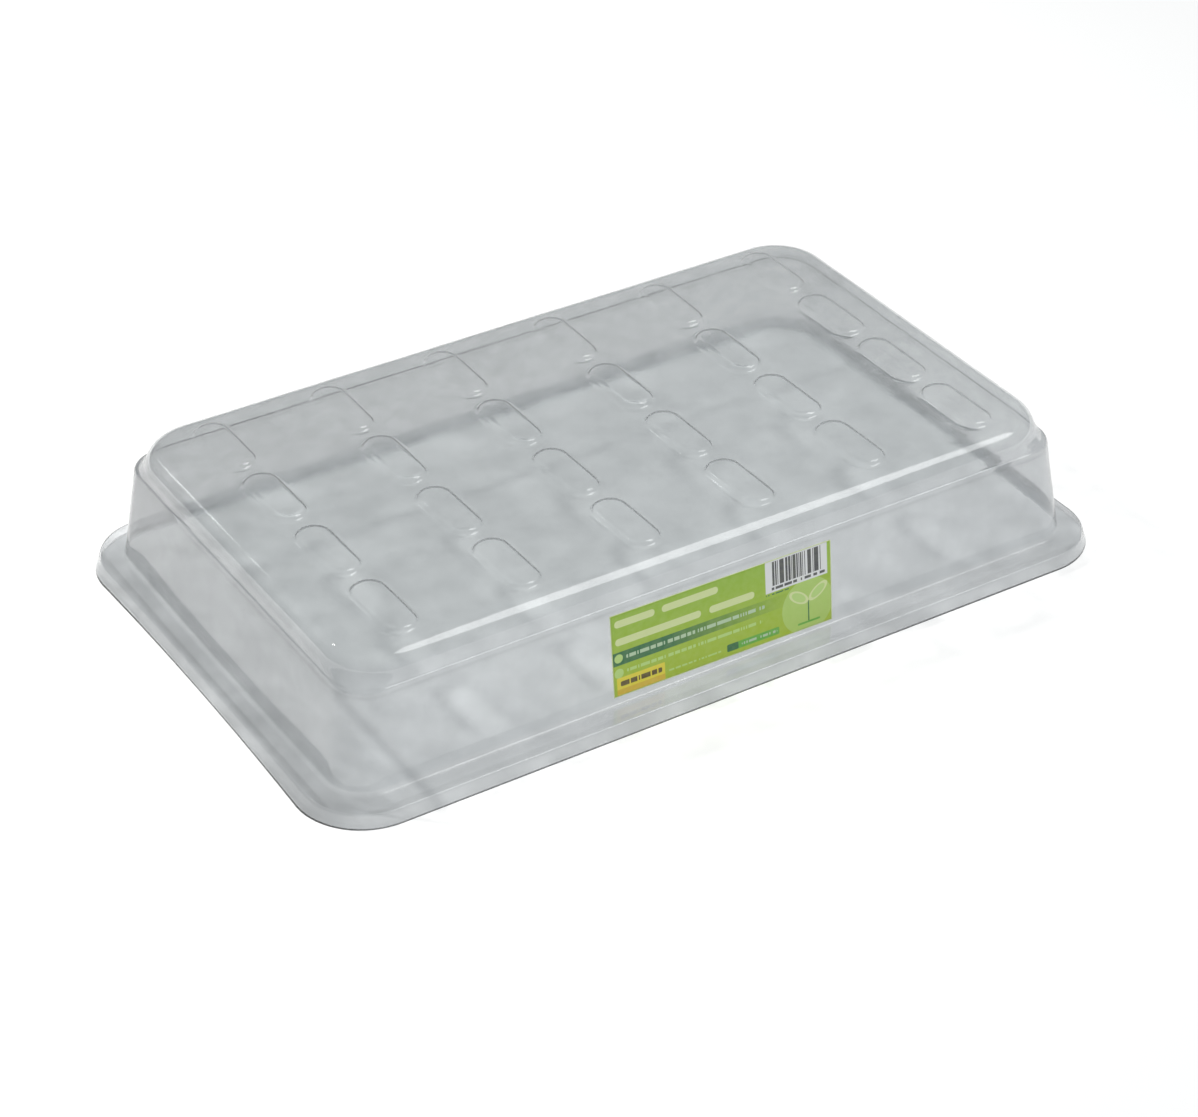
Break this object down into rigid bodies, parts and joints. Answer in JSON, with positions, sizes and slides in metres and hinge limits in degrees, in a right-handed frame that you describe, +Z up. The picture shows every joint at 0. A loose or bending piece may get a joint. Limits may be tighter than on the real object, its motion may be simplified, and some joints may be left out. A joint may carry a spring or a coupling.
{
  "type": "humidity dome",
  "caption": "Shallow clear plastic propagator lid with raised oblong roof pads, sloping walls, a flat ledge with a skirt that fits over a seed tray's edge, and a printed label.",
  "frame": {"origin": "middle of the foot's outline, on the plane that the cover stands on", "axes": "+X along the long side, +Y across to the back wall, +Z up through the roof; the label is on the -Y wall"},
  "size_m": [0.378, 0.235, 0.0647],
  "materials": {
    "clear_sheet": "clear glossy vacuum-formed sheet, faintly grey-green",
    "label_print": "coated label, printed in lime green and white"
  },
  "bodies": {
    "root": {"dome_cover": "clear_sheet", "wall_label": "label_print"}
  },
  "joints": []
}
